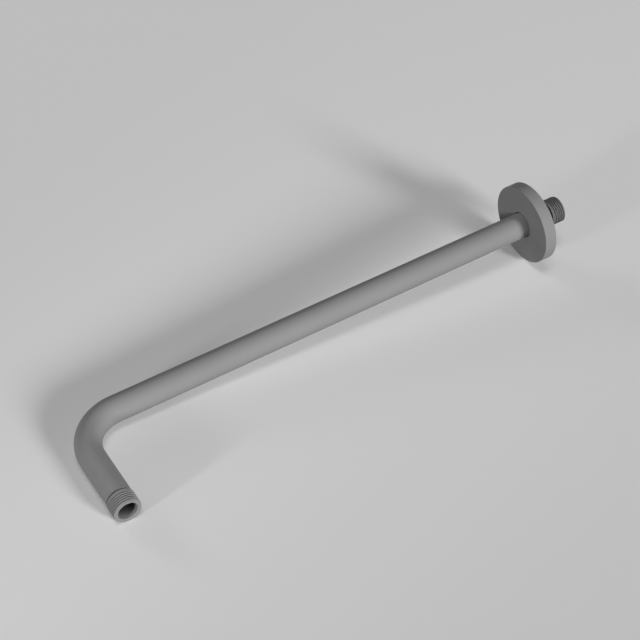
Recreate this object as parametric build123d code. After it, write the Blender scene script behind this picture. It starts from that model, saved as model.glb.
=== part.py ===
from build123d import *
import os

# Wall shower arm: a bent tube with a threaded nipple brazed into each end, and a round
# wall flange that slides and turns on the tube against the grip of a rubber ring.
# The arm lies on its side. +X runs out from the wall along the arm, +Y along the outlet
# leg, +Z up. The origin is on the arm's axis at the inner end of the inlet thread.
# All sizes are in millimetres.

# Bent tube: its reach runs from the finished wall to the axis of the outlet leg
tube_od = 20.0
tube_wall = 1.0
bend_radius = 33.0
depth_in_wall = 12.0
reach = 400.0
drop = 86.5
tube_edge = 0.25

# Threaded nipples: half-inch parallel pipe thread, shown at its major diameter
thread_od = 20.955
thread_length = 11.5
thread_lead_in = 0.4
relief_width = 1.5
relief_wall = 1.2
shoulder_height = 0.32
shoulder_width = 0.3
spigot_length = 12.0
spigot_wall = 1.5
spigot_lead_in = 0.5
mouth_bevel = 0.25
braze_gap = 0.05

# Wall flange, hollow at the back, with a hub round the tube
flange_od = 64.0
flange_thickness = 10.0
flange_face = 3.0
flange_rim = 3.0
flange_edge = 0.4
hub_wall = 2.5
hub_setback = 3.0
hole_clearance = 0.12

# Rubber ring in the hub, squeezed between the tube and its groove
ring_height = 2.4
ring_width = 3.0
ring_bevel = 0.5
ring_fit = 0.05
ring_side_play = 0.25

# Radii and places that follow from the sizes above
tube_r = tube_od / 2
tube_bore_r = tube_r - tube_wall
thread_r = thread_od / 2
shoulder_r = tube_bore_r + shoulder_height
spigot_r = tube_bore_r - braze_gap
waterway_r = spigot_r - spigot_wall
relief_r = waterway_r + relief_wall
flange_r = flange_od / 2
hole_r = max(thread_r, tube_r) + hole_clearance
ring_inner_r = tube_r + ring_fit
ring_outer_r = ring_inner_r + ring_height
groove_r = ring_outer_r + ring_fit
hub_r = groove_r + hub_wall

tube_start = relief_width
wall_x = tube_start + depth_in_wall
outlet_x = wall_x + reach
tube_end = drop - thread_length - relief_width
ring_x = wall_x + (hub_setback + flange_thickness) / 2

# Seats of the nipples on the tube's ends, facing out of the tube
inlet_seat = Plane(origin=(tube_start, 0, 0), z_dir=(-1, 0, 0))
outlet_seat = Plane(origin=(outlet_x, tube_end, 0), z_dir=(0, 1, 0))


def bent_tube():
    """Round tube swept along a straight run, one quarter bend and the outlet leg,
    with the outer corner of both ends bevelled."""
    centre_line = FilletPolyline(
        (tube_start, 0),
        (outlet_x, 0),
        (outlet_x, tube_end),
        radius=bend_radius,
    )
    ring = Circle(tube_r) - Circle(tube_bore_r)
    tube = sweep(Plane.YZ.offset(tube_start) * ring, path=centre_line)
    corner = Polyline(
        (tube_r - tube_edge, 0),
        (tube_r + tube_edge, 0),
        (tube_r + tube_edge, -2 * tube_edge),
        close=True,
    )
    bevel = revolve(Plane.XZ * make_face(corner), axis=Axis.Z)
    return tube - [inlet_seat * bevel, outlet_seat * bevel]


def threaded_nipple():
    """Turned nipple on +Z. The tube's end seats on a low shoulder at z = 0, with the
    spigot below it and the relief groove and the thread above it."""
    thread_start = relief_width
    thread_end = relief_width + thread_length
    outline = Polyline(
        (waterway_r, -spigot_length),
        (spigot_r - spigot_lead_in, -spigot_length),
        (spigot_r, -spigot_length + spigot_lead_in),
        (spigot_r, 0),
        (shoulder_r, 0),
        (shoulder_r, shoulder_width),
        (relief_r, shoulder_width),
        (relief_r, thread_start),
        (thread_r, thread_start),
        (thread_r, thread_end - thread_lead_in),
        (thread_r - thread_lead_in, thread_end),
        (waterway_r + mouth_bevel, thread_end),
        (waterway_r, thread_end - mouth_bevel),
        close=True,
    )
    return revolve(Plane.XZ * make_face(outline), axis=Axis.Z)


def wall_flange():
    """Turned cover with its back edge in the wall plane: a face plate, a rim and a
    shorter hub, whose bore has a square groove for the rubber ring."""
    front = wall_x + flange_thickness
    back_of_face = front - flange_face
    back_of_hub = wall_x + hub_setback
    inside_of_rim = flange_r - flange_rim
    groove_half_width = ring_width / 2 + ring_side_play
    outline = Polyline(
        (wall_x, inside_of_rim),
        (wall_x, flange_r - flange_edge),
        (wall_x + flange_edge, flange_r),
        (front - flange_edge, flange_r),
        (front, flange_r - flange_edge),
        (front, hole_r),
        (ring_x + groove_half_width, hole_r),
        (ring_x + groove_half_width, groove_r),
        (ring_x - groove_half_width, groove_r),
        (ring_x - groove_half_width, hole_r),
        (back_of_hub, hole_r),
        (back_of_hub, hub_r),
        (back_of_face, hub_r),
        (back_of_face, inside_of_rim),
        close=True,
    )
    return revolve(make_face(outline), axis=Axis.X)


def grip_ring():
    """Rubber ring as it lies squeezed: flat where it meets the tube and the groove's
    floor, with its corners bevelled towards its sides."""
    back = ring_x - ring_width / 2
    front = ring_x + ring_width / 2
    outline = Polyline(
        (back + ring_bevel, ring_inner_r),
        (front - ring_bevel, ring_inner_r),
        (front, ring_inner_r + ring_bevel),
        (front, ring_outer_r - ring_bevel),
        (front - ring_bevel, ring_outer_r),
        (back + ring_bevel, ring_outer_r),
        (back, ring_outer_r - ring_bevel),
        (back, ring_inner_r + ring_bevel),
        close=True,
    )
    return revolve(make_face(outline), axis=Axis.X)


pieces = {
    "arm_tube": bent_tube(),
    "inlet_nipple": inlet_seat * threaded_nipple(),
    "outlet_nipple": outlet_seat * threaded_nipple(),
    "wall_flange": wall_flange(),
    "flange_o_ring": grip_ring(),
}

os.makedirs("parts", exist_ok=True)
for name, piece in pieces.items():
    export_step(piece, f"parts/{name}.step")
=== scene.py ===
import math

import bpy
import numpy as np
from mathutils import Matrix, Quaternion, Vector


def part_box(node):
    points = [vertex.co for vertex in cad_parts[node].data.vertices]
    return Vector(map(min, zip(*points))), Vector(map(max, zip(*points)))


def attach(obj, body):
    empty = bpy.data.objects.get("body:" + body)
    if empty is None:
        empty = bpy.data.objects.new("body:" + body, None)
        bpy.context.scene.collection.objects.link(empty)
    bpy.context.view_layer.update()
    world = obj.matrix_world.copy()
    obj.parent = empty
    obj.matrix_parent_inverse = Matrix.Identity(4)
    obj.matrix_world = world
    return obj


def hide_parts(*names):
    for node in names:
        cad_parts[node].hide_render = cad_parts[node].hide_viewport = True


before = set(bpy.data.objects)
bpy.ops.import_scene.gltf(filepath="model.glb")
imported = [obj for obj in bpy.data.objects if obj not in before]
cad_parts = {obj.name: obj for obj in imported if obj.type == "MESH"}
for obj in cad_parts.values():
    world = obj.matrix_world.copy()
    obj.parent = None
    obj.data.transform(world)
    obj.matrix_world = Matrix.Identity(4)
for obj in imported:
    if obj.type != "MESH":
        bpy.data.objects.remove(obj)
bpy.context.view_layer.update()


# Arm tube
# One length of round metal tube, bent to a quarter turn near its outlet end and cut square, with
# the corners of its cut ends eased. Its outside has a matte neutral grey coat, its inside is bare.
tube_low, tube_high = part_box("arm_tube")
tube_wall = 0.001
tube_ease = 0.0002
tube_radius = (tube_high.z - tube_low.z) / 2
tube_bore = tube_radius - tube_wall
bend_radius = 0.033
bend_begins = tube_high.x - tube_radius - bend_radius
bend_ends = bend_begins + bend_radius * math.pi / 2
tube_begins = tube_low.x
tube_ends = bend_ends + tube_high.y - bend_radius
coat_tone = (0.315, 0.315, 0.315, 1.0)
coat_shade = (0.285, 0.285, 0.285, 1.0)
# Dark tone of dull bare metal, also used as painted shade in the nipples' recesses
bare_and_shade_tone = (0.08, 0.08, 0.08, 1.0)
coat_roughness = (0.6, 0.74)
coat_specular = 0.12
cloud_per_metre = 28.0
cloud_detail = 3.0
grain_detail = 2.0
grain_strength = 0.6


def arm_line(distance):
    """Centre line of the arm at distances along it, counted as X is on the straight run: straight along
    +X, then a quarter circle, then straight along +Y. The turn is the distance past the start of the
    bend over the bend radius, held between nothing and a quarter turn. Gives the points, and the unit
    directions across the line in the plane of the bend."""
    turn = np.clip((distance - bend_begins) / bend_radius, 0.0, math.pi / 2)
    flat = np.zeros_like(turn)
    x = np.minimum(distance, bend_begins) + bend_radius * np.sin(turn)
    y = np.maximum(distance - bend_ends, 0.0) + bend_radius * (1 - np.cos(turn))
    return np.stack([x, y, flat], axis=-1), np.stack([-np.sin(turn), np.cos(turn), flat], axis=-1)


def eased_outline(corners, ease, steps=7, guard_share=0.4):
    """Closed outline through the corners, with each corner turned into an arc of its own radius. An arc
    begins its radius times the tangent of half the turn before the corner, and its centre lies one
    radius to the inner side. One more point on each side of an arc, a share of the radius away, keeps
    the flats beside it flat."""
    corners = np.array(corners)
    ease = np.broadcast_to(np.asarray(ease, float), len(corners))[:, None]
    after = np.roll(corners, -1, axis=0) - corners
    after /= np.linalg.norm(after, axis=1, keepdims=True)
    before = np.roll(after, 1, axis=0)
    turn = np.arctan2(
        before[:, 0] * after[:, 1] - before[:, 1] * after[:, 0],
        np.sum(before * after, axis=1),
    )[:, None]
    inward = np.sign(turn) * np.stack([-before[:, 1], before[:, 0]], axis=1)
    start = corners - before * ease * np.tan(np.abs(turn) / 2)
    swept = (np.abs(turn) * np.linspace(0, 1, steps))[..., None]
    arcs = start[:, None] + ease[:, None] * (
        inward[:, None] * (1 - np.cos(swept)) + before[:, None] * np.sin(swept)
    )
    guard = guard_share * ease[:, None]
    first = arcs[:, :1] - before[:, None] * guard
    last = arcs[:, -1:] + after[:, None] * guard
    return np.concatenate([first, arcs, last], axis=1).reshape(-1, 2)


def with_stations(outline, spacing):
    """Closed outline with each side cut into equal steps no longer than its spacing: the points of a side
    are its start plus whole shares of its length."""
    sides = np.roll(outline, -1, axis=0) - outline
    counts = np.ceil(np.linalg.norm(sides, axis=1) / spacing).astype(int)
    within = np.arange(counts.sum()) - np.repeat(np.cumsum(counts) - counts, counts)
    share = within / np.repeat(counts, counts)
    return np.repeat(outline, counts, axis=0) + share[:, None] * np.repeat(sides, counts, axis=0)


def ring_round_arm(name, distance, radius, columns):
    """Closed ring-shaped skin round the arm's line: the point of a row and a column is the line's point at
    the row's distance plus the radius times (cosine of the column's angle across the bend's plane, sine
    of it along +Z). Rows and columns both close on themselves."""
    centre, across = arm_line(distance)
    angle = np.linspace(0, 2 * math.pi, columns, endpoint=False)
    up = np.array([0.0, 0.0, 1.0])
    outward = across[:, None] * np.cos(angle)[:, None] + up * np.sin(angle)[:, None]
    points = centre[:, None] + np.broadcast_to(radius, (len(distance), columns))[..., None] * outward
    corner = np.arange(len(distance) * columns, dtype=np.int32).reshape(len(distance), columns)
    beside = np.roll(corner, -1, axis=1)
    quads = np.stack([corner, beside, np.roll(beside, -1, axis=0), np.roll(corner, -1, axis=0)], axis=-1)
    mesh = bpy.data.meshes.new(name)
    mesh.vertices.add(corner.size)
    mesh.vertices.foreach_set("co", points.ravel())
    mesh.loops.add(quads.size)
    mesh.loops.foreach_set("vertex_index", quads.ravel())
    mesh.polygons.add(corner.size)
    mesh.polygons.foreach_set("loop_start", np.arange(0, quads.size, 4, dtype=np.int32))
    mesh.update(calc_edges=True)
    mesh.shade_smooth()
    piece = bpy.data.objects.new(name, mesh)
    bpy.context.scene.collection.objects.link(piece)
    return piece


def bare_and_painted_shade(piece, share):
    """Writes on a piece's points how far their colour goes over to the dark bare tone, from nothing to
    one:
    bare metal inside the tube, and painted shade in the nipples' thread roots, groove and waterway. The
    share is given by row, or by row and column."""
    columns = len(piece.data.vertices) // len(share)
    values = piece.data.attributes.new("bare_and_painted_shade", "FLOAT", "POINT")
    values.data.foreach_set("value", np.broadcast_to(share, (len(share), columns)).ravel())


def coat_group():
    """Powder coat as a shader node group. Fine noise is the grain's height and moves the roughness a
    little, and broad soft noise shades the colour between two tones."""
    group = bpy.data.node_groups.new("powder_coat", "ShaderNodeTree")
    sockets = group.interface
    for label, kind in (("Tone", "Color"), ("Shade", "Color"), ("Grain", "Float"), ("Cloud", "Float")):
        sockets.new_socket(name=label, in_out="INPUT", socket_type="NodeSocket" + kind)
    for label, kind in (("Color", "Color"), ("Roughness", "Float"), ("Height", "Float")):
        sockets.new_socket(name=label, in_out="OUTPUT", socket_type="NodeSocket" + kind)
    nodes, wire = group.nodes, group.links.new
    given = nodes.new("NodeGroupInput")
    made = nodes.new("NodeGroupOutput")
    place = nodes.new("ShaderNodeTexCoord")
    grain = nodes.new("ShaderNodeTexNoise")
    grain.inputs["Detail"].default_value = grain_detail
    cloud = nodes.new("ShaderNodeTexNoise")
    cloud.inputs["Detail"].default_value = cloud_detail
    for noise, label in ((grain, "Grain"), (cloud, "Cloud")):
        wire(place.outputs["Object"], noise.inputs["Vector"])
        wire(given.outputs[label], noise.inputs["Scale"])
    tone = nodes.new("ShaderNodeMix")
    tone.data_type = "RGBA"
    wire(cloud.outputs["Fac"], tone.inputs["Factor"])
    wire(given.outputs["Tone"], tone.inputs["A"])
    wire(given.outputs["Shade"], tone.inputs["B"])
    rough = nodes.new("ShaderNodeMapRange")
    rough.inputs["To Min"].default_value, rough.inputs["To Max"].default_value = coat_roughness
    wire(grain.outputs["Fac"], rough.inputs["Value"])
    wire(tone.outputs["Result"], made.inputs["Color"])
    wire(rough.outputs["Result"], made.inputs["Roughness"])
    wire(grain.outputs["Fac"], made.inputs["Height"])
    return group


powder_coat = coat_group()


def coated_metal(name, grain_per_metre, relief):
    """Material of the coat: the group's colour and roughness, and its grain as bump of the given depth.
    Where the point attribute says so, its colour goes over to a dark tone: dull bare metal inside the
    tube, and painted shade in the recesses of the nipples."""
    material = bpy.data.materials.new(name)
    material.use_nodes = True
    nodes, wire = material.node_tree.nodes, material.node_tree.links.new
    shader = nodes["Principled BSDF"]
    coat = nodes.new("ShaderNodeGroup")
    coat.node_tree = powder_coat
    coat.inputs["Tone"].default_value = coat_tone
    coat.inputs["Shade"].default_value = coat_shade
    coat.inputs["Grain"].default_value = grain_per_metre
    coat.inputs["Cloud"].default_value = cloud_per_metre
    # Share of the dark tone at each point: bare metal, and painted shade in the nipples' recesses
    thinned_and_shaded = nodes.new("ShaderNodeAttribute")
    thinned_and_shaded.attribute_name = "bare_and_painted_shade"
    tone = nodes.new("ShaderNodeMix")
    tone.data_type = "RGBA"
    tone.inputs["B"].default_value = bare_and_shade_tone
    bump = nodes.new("ShaderNodeBump")
    bump.inputs["Strength"].default_value = grain_strength
    bump.inputs["Distance"].default_value = relief
    wire(thinned_and_shaded.outputs["Fac"], tone.inputs["Factor"])
    wire(coat.outputs["Color"], tone.inputs["A"])
    wire(tone.outputs["Result"], shader.inputs["Base Color"])
    wire(coat.outputs["Roughness"], shader.inputs["Roughness"])
    wire(coat.outputs["Height"], bump.inputs["Height"])
    wire(bump.outputs["Normal"], shader.inputs["Normal"])
    shader.inputs["Specular IOR Level"].default_value = coat_specular
    return material


tube_outline = with_stations(
    eased_outline(
        [
            (tube_begins, tube_radius),
            (tube_ends, tube_radius),
            (tube_ends, tube_bore),
            (tube_begins, tube_bore),
        ],
        tube_ease,
    ),
    spacing=0.0025,
)
arm_tube = ring_round_arm("coated_arm_tube", tube_outline[:, 0], tube_outline[:, 1:], columns=96)
bare_and_painted_shade(arm_tube, tube_outline[:, 1:] < tube_radius - tube_ease)
arm_tube.data.materials.append(coated_metal("coated_tube", grain_per_metre=2600.0, relief=0.00003))
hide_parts("arm_tube")
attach(arm_tube, "arm")


# Threaded nipples
# Two turned ends brazed into the tube, each with a male half-inch parallel pipe thread, a narrow
# relief groove where the tube stops, and the waterway through its middle. They share the tube's coat,
# with painted shade in the thread roots, the groove and the waterway, and over the whole inlet thread.
inlet_low, inlet_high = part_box("inlet_nipple")
outlet_low, outlet_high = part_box("outlet_nipple")
inch = 0.0254
threads_per_inch = 14
depth_per_pitch = 0.640327
rounding_per_pitch = 0.137329
thread_radius = (inlet_high.z - inlet_low.z) / 2
thread_pitch = inch / threads_per_inch
thread_depth = depth_per_pitch * thread_pitch
crest_rounding = rounding_per_pitch * thread_pitch
flank_angle = math.radians(27.5)
crest_cut = 0.00025
thread_lead_in = 0.0004
nipple_ease = 0.00008
braze_gap = 0.00005
shoulder_width = 0.0003
shoulder_height = 0.00032
shoulder_radius = tube_bore + shoulder_height
spigot_wall = 0.0015
spigot_radius = tube_bore - braze_gap
spigot_length = inlet_high.x - tube_begins
waterway_radius = spigot_radius - spigot_wall
mouth_bevel = 0.00025
relief_width = 0.0015
relief_wall = 0.0012
relief_radius = waterway_radius + relief_wall
# Painted shade in the relief groove, as a share of the dark tone
painted_shade_in_relief = 0.8
# Depths from the free end over which the waterway goes over to the dark tone: bare metal and painted shade
bare_and_shade_reach = (0.0025, 0.008)
nipple_columns = 160
steps_per_pitch = 18
step_off_thread = 0.002


def thread_drop(along):
    """How far a pipe thread's surface lies below its crests, at distances along its axis from a crest: a
    55 degree vee, whose crests and roots are arcs that leave the flanks at their own slope. The form
    is the same upside down about its middle height, a quarter pitch from the crest."""
    from_crest = np.abs((along / thread_pitch + 0.5) % 1.0 - 0.5) * thread_pitch
    from_arc = np.minimum(from_crest, thread_pitch / 2 - from_crest)
    arc = thread_depth / 2 - crest_rounding + np.sqrt(np.maximum(crest_rounding**2 - from_arc**2, 0.0))
    flank = (thread_pitch / 4 - from_arc) / math.tan(flank_angle)
    height = np.where(from_arc < crest_rounding * math.cos(flank_angle), arc, flank)
    return thread_depth / 2 - np.where(from_crest < thread_pitch / 4, height, -height)


def threaded_nipple(name, seat, way, thread_length, painted_shade_on_crests, painted_shade_in_roots):
    """Nipple whose tube end seats at a distance along the arm and whose thread points that way along it.
    The thread is a drop from the turned outline by the helix: its distance along the axis less the
    pitch times the share of a turn, less the cut that leaves its crests flat. It starts behind the
    bevel of the free end and runs out over its last pitch before the groove. Painted shade darkens the
    colour from the crests to the roots by the square of the depth, and also in the groove and down the
    waterway, where the deeper part is also dull bare metal."""
    thread_end = relief_width + thread_length
    outline = eased_outline(
        [
            (-spigot_length, waterway_radius),
            (-spigot_length, spigot_radius),
            (0.0, spigot_radius),
            (0.0, shoulder_radius),
            (shoulder_width, shoulder_radius),
            (shoulder_width, relief_radius),
            (relief_width, relief_radius),
            (relief_width, thread_radius),
            (thread_end - thread_lead_in, thread_radius),
            (thread_end, thread_radius - thread_lead_in),
            (thread_end, waterway_radius + mouth_bevel),
            (thread_end - mouth_bevel, waterway_radius),
        ],
        nipple_ease,
        steps=5,
    )
    on_thread = (outline[:, 1] > relief_radius) & (outline[:, 0] > relief_width - nipple_ease)
    outline = with_stations(outline, np.where(on_thread, thread_pitch / steps_per_pitch, step_off_thread))
    if way < 0:
        outline = outline[::-1]
    along, turned_radius = outline[:, :1], outline[:, 1:]
    distance = seat + way * outline[:, 0]
    turn = np.linspace(0, 1, nipple_columns, endpoint=False)
    depth = np.maximum(thread_drop(distance[:, None] - thread_pitch * turn) - crest_cut, 0.0)
    behind_bevel = np.clip((thread_end - along) / (thread_lead_in / 2), 0.0, 1.0)
    depth *= behind_bevel * np.clip((along - relief_width) / thread_pitch, 0.0, 1.0)
    threaded = (turned_radius > shoulder_radius) & (along > relief_width)
    radius = np.where(threaded, np.minimum(turned_radius, thread_radius - depth), turned_radius)
    piece = ring_round_arm(name, distance, radius, nipple_columns)
    # Painted shade: a share on the crests, growing towards the thread roots by the square of the depth
    share = painted_shade_on_crests * behind_bevel
    share = share + (painted_shade_in_roots - painted_shade_on_crests) * (depth / (thread_depth - crest_cut)) ** 2
    share = np.where(threaded, share, 0.0)
    # Painted shade in the relief groove
    share = np.where((along < relief_width) & (turned_radius < shoulder_radius), painted_shade_in_relief, share)
    # Waterway darker with depth, as bare metal and painted shade in the bore
    share = np.where(
        turned_radius < waterway_radius + mouth_bevel / 2,
        np.interp(thread_end - along, bare_and_shade_reach, (0.0, 1.0)),
        share,
    )
    bare_and_painted_shade(piece, share)
    return piece


thread_coat = coated_metal("coated_thread", grain_per_metre=3200.0, relief=0.00002)
inlet = threaded_nipple(
    "threaded_inlet",
    seat=tube_begins,
    way=-1,
    thread_length=tube_begins - inlet_low.x - relief_width,
    # The inlet's whole thread is painted darker, as painted shade from the flange
    painted_shade_on_crests=0.32,
    painted_shade_in_roots=1.0,
)
outlet = threaded_nipple(
    "threaded_outlet",
    seat=tube_ends,
    way=1,
    thread_length=outlet_high.y - tube_high.y - relief_width,
    painted_shade_on_crests=0.0,
    painted_shade_in_roots=0.46,
)
for nipple, node in ((inlet, "inlet_nipple"), (outlet, "outlet_nipple")):
    nipple.data.materials.append(thread_coat)
    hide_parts(node)
    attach(nipple, "arm")


# Rubber ring
# A black rubber ring in the groove of the flange's hub. It is squeezed against the tube, so that the
# flange can be pushed along and turned by hand and stays where it is put.
ring_low, ring_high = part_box("flange_o_ring")
ring_fit = 0.00005
ring_middle = (ring_low.x + ring_high.x) / 2
ring_half_width = (ring_high.x - ring_low.x) / 2
ring_outer = (ring_high.z - ring_low.z) / 2
ring_inner = tube_radius + ring_fit
squareness = 0.7
rubber_shades = (0.022, 0.036)
rubber_roughness = 0.75
skin_per_metre = 1800.0
skin_relief = 0.00003


def squeezed_ring(name, section_points, columns):
    """Ring whose section is a round one pressed towards a square: half the width times the cosine and
    half the height times the sine of an angle, each raised to a power below one."""
    angle = np.linspace(2 * math.pi, 0, section_points, endpoint=False)
    cosine, sine = np.cos(angle), np.sin(angle)
    distance = ring_middle + ring_half_width * np.sign(cosine) * np.abs(cosine) ** squareness
    half_height = (ring_outer - ring_inner) / 2
    radius = ring_inner + half_height * (1 + np.sign(sine) * np.abs(sine) ** squareness)
    return ring_round_arm(name, distance, radius[:, None], columns)


def black_rubber():
    """Plain moulded rubber: nearly black, dull, with a fine uneven skin."""
    material = bpy.data.materials.new("seal_rubber")
    material.use_nodes = True
    nodes, wire = material.node_tree.nodes, material.node_tree.links.new
    shader = nodes["Principled BSDF"]
    place = nodes.new("ShaderNodeTexCoord")
    skin = nodes.new("ShaderNodeTexNoise")
    skin.inputs["Scale"].default_value = skin_per_metre
    shade = nodes.new("ShaderNodeMapRange")
    shade.inputs["To Min"].default_value, shade.inputs["To Max"].default_value = rubber_shades
    bump = nodes.new("ShaderNodeBump")
    bump.inputs["Distance"].default_value = skin_relief
    wire(place.outputs["Object"], skin.inputs["Vector"])
    wire(skin.outputs["Fac"], shade.inputs["Value"])
    wire(shade.outputs["Result"], shader.inputs["Base Color"])
    wire(skin.outputs["Fac"], bump.inputs["Height"])
    wire(bump.outputs["Normal"], shader.inputs["Normal"])
    shader.inputs["Roughness"].default_value = rubber_roughness
    return material


grip_ring = squeezed_ring("rubber_grip_ring", section_points=40, columns=96)
grip_ring.data.materials.append(black_rubber())
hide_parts("flange_o_ring")
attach(grip_ring, "grip")


# Wall flange
# A turned round cover, pushed along the tube against the wall: a flat face plate, a rim, and a hub
# whose bore has a groove for the rubber ring. Hollow at the back, with the same coat as the tube.
flange_low, flange_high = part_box("wall_flange")
flange_radius = (flange_high.z - flange_low.z) / 2
flange_back, flange_front = flange_low.x, flange_high.x
flange_face = 0.003
flange_rim = 0.003
hub_setback = 0.003
hub_wall = 0.0025
hole_clearance = 0.00012
ring_side_play = 0.00025
edge_ease = 0.0004
back_ease = 0.0002
bore_ease = 0.0001
inner_ease = 0.0005
face_back = flange_front - flange_face
rim_inside = flange_radius - flange_rim
hub_back = flange_back + hub_setback
hole_radius = thread_radius + hole_clearance
groove_radius = ring_outer + ring_fit
groove_back = ring_low.x - ring_side_play
groove_front = ring_high.x + ring_side_play
hub_radius = groove_radius + hub_wall
flange_corners = [
    (flange_back, rim_inside, back_ease),
    (flange_back, flange_radius, edge_ease),
    (flange_front, flange_radius, edge_ease),
    (flange_front, hole_radius, bore_ease),
    (groove_front, hole_radius, bore_ease),
    (groove_front, groove_radius, bore_ease),
    (groove_back, groove_radius, bore_ease),
    (groove_back, hole_radius, bore_ease),
    (hub_back, hole_radius, back_ease),
    (hub_back, hub_radius, back_ease),
    (face_back, hub_radius, inner_ease),
    (face_back, rim_inside, inner_ease),
]
flange_outline = with_stations(
    eased_outline([corner[:2] for corner in flange_corners], [corner[2] for corner in flange_corners]),
    spacing=0.004,
)
flange = ring_round_arm("wall_flange_cover", flange_outline[:, 0], flange_outline[:, 1:], columns=192)
flange.data.materials.append(coated_metal("coated_flange", grain_per_metre=2600.0, relief=0.00003))
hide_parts("wall_flange")
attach(flange, "flange")


# Floor
# A plain pale floor under the arm as it lies: it meets the lowest point of the flange's front edge
# and is tangent to the underside of the outlet thread, so it is tilted a little in the arm's frame.
floor_half = 40.0
floor_roughness = 0.9
floor_specular = 0.1
lowest_edge = Vector((flange_front, 0.0, flange_low.z))
thread_axis = Vector((outlet_low.x + thread_radius, 0.0, 0.0))
to_thread = thread_axis - lowest_edge
floor_tilt = math.atan2(to_thread.z, to_thread.x) - math.asin(thread_radius / to_thread.length)
floor_x = np.array([-floor_half, floor_half, floor_half, -floor_half])
floor_y = np.array([-floor_half, -floor_half, floor_half, floor_half])
floor_z = lowest_edge.z + (floor_x - lowest_edge.x) * math.tan(floor_tilt)
floor_mesh = bpy.data.meshes.new("floor")
floor_mesh.from_pydata(np.stack([floor_x, floor_y, floor_z], axis=1).tolist(), [], [(0, 1, 2, 3)])
floor = bpy.data.objects.new("floor", floor_mesh)
bpy.context.scene.collection.objects.link(floor)


def seen_directly(nodes, wire):
    """One where a ray comes straight from the camera, or by way of a reflection or through glass: the
    largest of the three marks that a ray carries."""
    path = nodes.new("ShaderNodeLightPath")
    seen = path.outputs["Is Camera Ray"]
    for label in ("Is Glossy Ray", "Is Transmission Ray"):
        largest = nodes.new("ShaderNodeMath")
        largest.operation = "MAXIMUM"
        wire(seen, largest.inputs[0])
        wire(path.outputs[label], largest.inputs[1])
        seen = largest.outputs[0]
    return seen


def pale_paint(name, lifted, seen, bounced):
    """Floor paint: dull, pale and a little lifted where it is seen, and greyer in the light that it
    sends back."""
    material = bpy.data.materials.new(name)
    material.use_nodes = True
    nodes, wire = material.node_tree.nodes, material.node_tree.links.new
    shader = nodes["Principled BSDF"]
    shader.inputs["Roughness"].default_value = floor_roughness
    shader.inputs["Specular IOR Level"].default_value = floor_specular
    shader.inputs["Emission Color"].default_value = (1.0, 1.0, 1.0, 1.0)
    direct = seen_directly(nodes, wire)
    tone = nodes.new("ShaderNodeMix")
    tone.data_type = "RGBA"
    tone.inputs["A"].default_value = (bounced, bounced, bounced, 1.0)
    tone.inputs["B"].default_value = (seen, seen, seen, 1.0)
    lift = nodes.new("ShaderNodeMath")
    lift.operation = "MULTIPLY"
    lift.inputs[1].default_value = lifted
    wire(direct, tone.inputs["Factor"])
    wire(direct, lift.inputs[0])
    wire(tone.outputs["Result"], shader.inputs["Base Color"])
    wire(lift.outputs[0], shader.inputs["Emission Strength"])
    return material


floor_mesh.materials.append(pale_paint("pale_floor", lifted=0.12, seen=0.8, bounced=0.27))


# Studio light
# A soft box beyond the outlet and three distant soft lamps: the main one low beyond the tube's bright
# side, one overhead and a weak one behind. The room is dim for the light it sends, and pale where seen.
soft_box_place = Vector((1.7135, 0.4227, 0.3623))
soft_box_aim = Vector((0.25, 0.02, 0.0))
soft_box_width = 0.17
soft_box_spread = math.radians(22)
soft_box_strength = 0.124
distant_lamps = (
    {"name": "main_lamp", "azimuth": 107, "height": 18, "spread": 14, "strength": 2.5},
    {"name": "top_lamp", "azimuth": 60, "height": 80, "spread": 20, "strength": 0.55},
    {"name": "back_lamp", "azimuth": -70, "height": 20, "spread": 15, "strength": 0.38},
)


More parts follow.
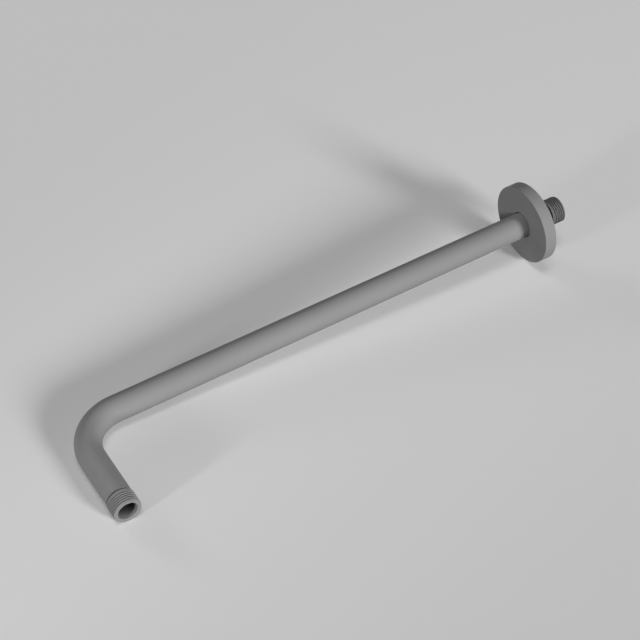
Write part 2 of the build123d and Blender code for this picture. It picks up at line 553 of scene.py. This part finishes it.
def distant_lamp(name, azimuth, height, spread, strength):
    """Lamp so far off that its light is parallel: it comes from an azimuth counted from +X towards +Y and
    a height above the level, and spreads over an angle, all three in degrees."""
    lamp = bpy.data.lights.new(name, "SUN")
    lamp.angle = math.radians(spread)
    lamp.energy = strength
    stand = bpy.data.objects.new(name, lamp)
    stand.rotation_euler = (math.radians(90 - height), 0.0, math.radians(90 + azimuth))
    bpy.context.scene.collection.objects.link(stand)


def round_soft_box(name):
    """Round lamp close by, pointed from its place at its aim, whose grid keeps the beam narrow."""
    lamp = bpy.data.lights.new(name, "AREA")
    lamp.shape = "DISK"
    lamp.size = soft_box_width
    lamp.spread = soft_box_spread
    lamp.energy = soft_box_strength
    stand = bpy.data.objects.new(name, lamp)
    stand.location = soft_box_place
    stand.rotation_euler = (soft_box_place - soft_box_aim).to_track_quat("Z", "Y").to_euler()
    stand.visible_camera = False
    bpy.context.scene.collection.objects.link(stand)


def pale_room(dim, seen):
    """Even surroundings: a dim grey for the light they send, and a pale one where they are seen."""
    room = bpy.data.worlds.new("pale_room")
    room.use_nodes = True
    nodes, wire = room.node_tree.nodes, room.node_tree.links.new
    tone = nodes.new("ShaderNodeMix")
    tone.data_type = "RGBA"
    tone.inputs["A"].default_value = (dim, dim, dim, 1.0)
    tone.inputs["B"].default_value = (seen, seen, seen, 1.0)
    wire(seen_directly(nodes, wire), tone.inputs["Factor"])
    wire(tone.outputs["Result"], nodes["Background"].inputs["Color"])
    return room


for lamp_values in distant_lamps:
    distant_lamp(**lamp_values)
round_soft_box("soft_box")
bpy.context.scene.world = pale_room(dim=0.02, seen=0.58)


# Camera
# A long lens above the outlet end, looking down along the arm to the flange, so that the leg comes
# nearest and the thread behind the flange just shows.
camera_place = Vector((0.65787, 0.76480, 0.92091))
camera_aim = Vector((0.21096, 0.00348, 0.0))
camera_roll = math.radians(-1.443)
film_width = 36.0
focal_length = 96.32
camera = bpy.data.cameras.new("camera")
camera.sensor_width = film_width
camera.lens = focal_length
tripod = bpy.data.objects.new("camera", camera)
tripod.location = camera_place
upright = (camera_aim - camera_place).to_track_quat("-Z", "Y")
tripod.rotation_mode = "QUATERNION"
tripod.rotation_quaternion = upright @ Quaternion((0.0, 0.0, 1.0), camera_roll)
bpy.context.scene.collection.objects.link(tripod)
bpy.context.scene.camera = tripod
bpy.context.scene.view_settings.view_transform = "Standard"
